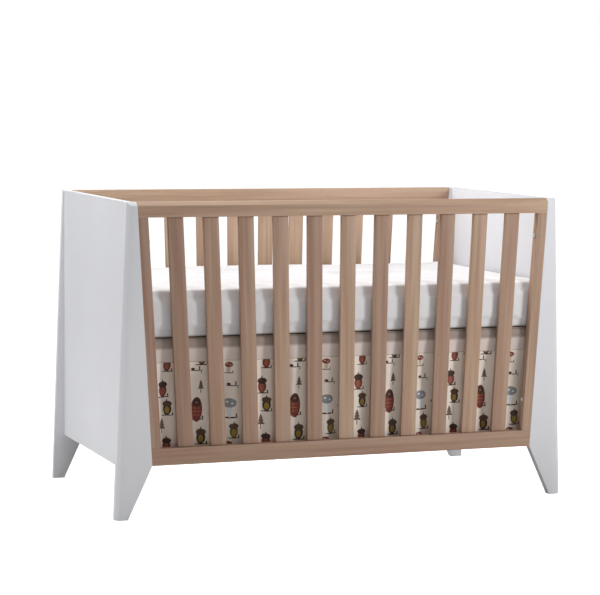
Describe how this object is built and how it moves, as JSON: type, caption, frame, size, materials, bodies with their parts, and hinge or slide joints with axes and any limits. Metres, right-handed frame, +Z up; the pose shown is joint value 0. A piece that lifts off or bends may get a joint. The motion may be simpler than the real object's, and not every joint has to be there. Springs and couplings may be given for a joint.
{
  "type": "baby crib",
  "caption": "Baby crib with white flared leg boards and solid end panels, fanned slatted wood sides, a mattress on an adjustable strap-steel support and a printed fabric skirt",
  "frame": {"origin": "on the floor, under the middle of the crib", "axes": "+X along the length, to the right seen from the front; +Y from the front side to the back side; +Z up"},
  "size_m": [1.435, 0.755, 0.92],
  "materials": {
    "white_lacquer": "white satin lacquer on board",
    "washed_oak": "clear matt lacquer on light washed oak",
    "support_steel": "grey powder coat",
    "bolt_steel": "zinc plated",
    "sheet_cotton": "white cotton percale",
    "skirt_cotton": "cream cotton with a woodland print"
  },
  "bodies": {
    "crib_frame": {"leg_board_front_left": "white_lacquer", "leg_board_front_right": "white_lacquer", "leg_board_back_left": "white_lacquer", "leg_board_back_right": "white_lacquer", "end_panel_left": "white_lacquer", "end_panel_right": "white_lacquer", "top_rail_front": "washed_oak", "bottom_rail_front": "washed_oak", "stile_front_left": "washed_oak", "stile_front_right": "washed_oak", "slat_front_01": "washed_oak", "slat_front_02": "washed_oak", "slat_front_03": "washed_oak", "slat_front_04": "washed_oak", "slat_front_05": "washed_oak", "slat_front_06": "washed_oak", "slat_front_07": "washed_oak", "slat_front_08": "washed_oak", "slat_front_09": "washed_oak", "slat_front_10": "washed_oak", "slat_front_11": "washed_oak", "top_rail_back": "washed_oak", "bottom_rail_back": "washed_oak", "stile_back_left": "washed_oak", "stile_back_right": "washed_oak", "slat_back_01": "washed_oak", "slat_back_02": "washed_oak", "slat_back_03": "washed_oak", "slat_back_04": "washed_oak", "slat_back_05": "washed_oak", "slat_back_06": "washed_oak", "slat_back_07": "washed_oak", "slat_back_08": "washed_oak", "slat_back_09": "washed_oak", "slat_back_10": "washed_oak", "slat_back_11": "washed_oak", "side_bolt_front_left_top": "bolt_steel", "side_bolt_front_left_bottom": "bolt_steel", "side_bolt_front_right_top": "bolt_steel", "side_bolt_front_right_bottom": "bolt_steel", "side_bolt_back_left_top": "bolt_steel", "side_bolt_back_left_bottom": "bolt_steel", "side_bolt_back_right_top": "bolt_steel", "side_bolt_back_right_bottom": "bolt_steel"},
    "mattress_support": {"mattress_support_frame": "support_steel", "support_bracket_front_left": "support_steel", "support_bracket_front_right": "support_steel", "support_bracket_back_left": "support_steel", "support_bracket_back_right": "support_steel", "support_bolt_front_left": "bolt_steel", "support_bolt_front_right": "bolt_steel", "support_bolt_back_left": "bolt_steel", "support_bolt_back_right": "bolt_steel", "skirt_deck": "sheet_cotton", "skirt_drop_front": "skirt_cotton", "skirt_drop_back": "skirt_cotton", "skirt_drop_left": "skirt_cotton", "skirt_drop_right": "skirt_cotton"},
    "mattress": {"mattress": "sheet_cotton"}
  },
  "joints": [
    {"name": "support_height", "type": "slide", "parent": "crib_frame", "child": "mattress_support", "axis": [0, 0, 1], "range_m": [-0.26, 0], "deforming": ["skirt_drop_front", "skirt_drop_back", "skirt_drop_left", "skirt_drop_right"]},
    {"name": "mattress_lift", "type": "slide", "parent": "mattress_support", "child": "mattress", "axis": [0, 0, 1], "range_m": [0, 0.45]}
  ]
}
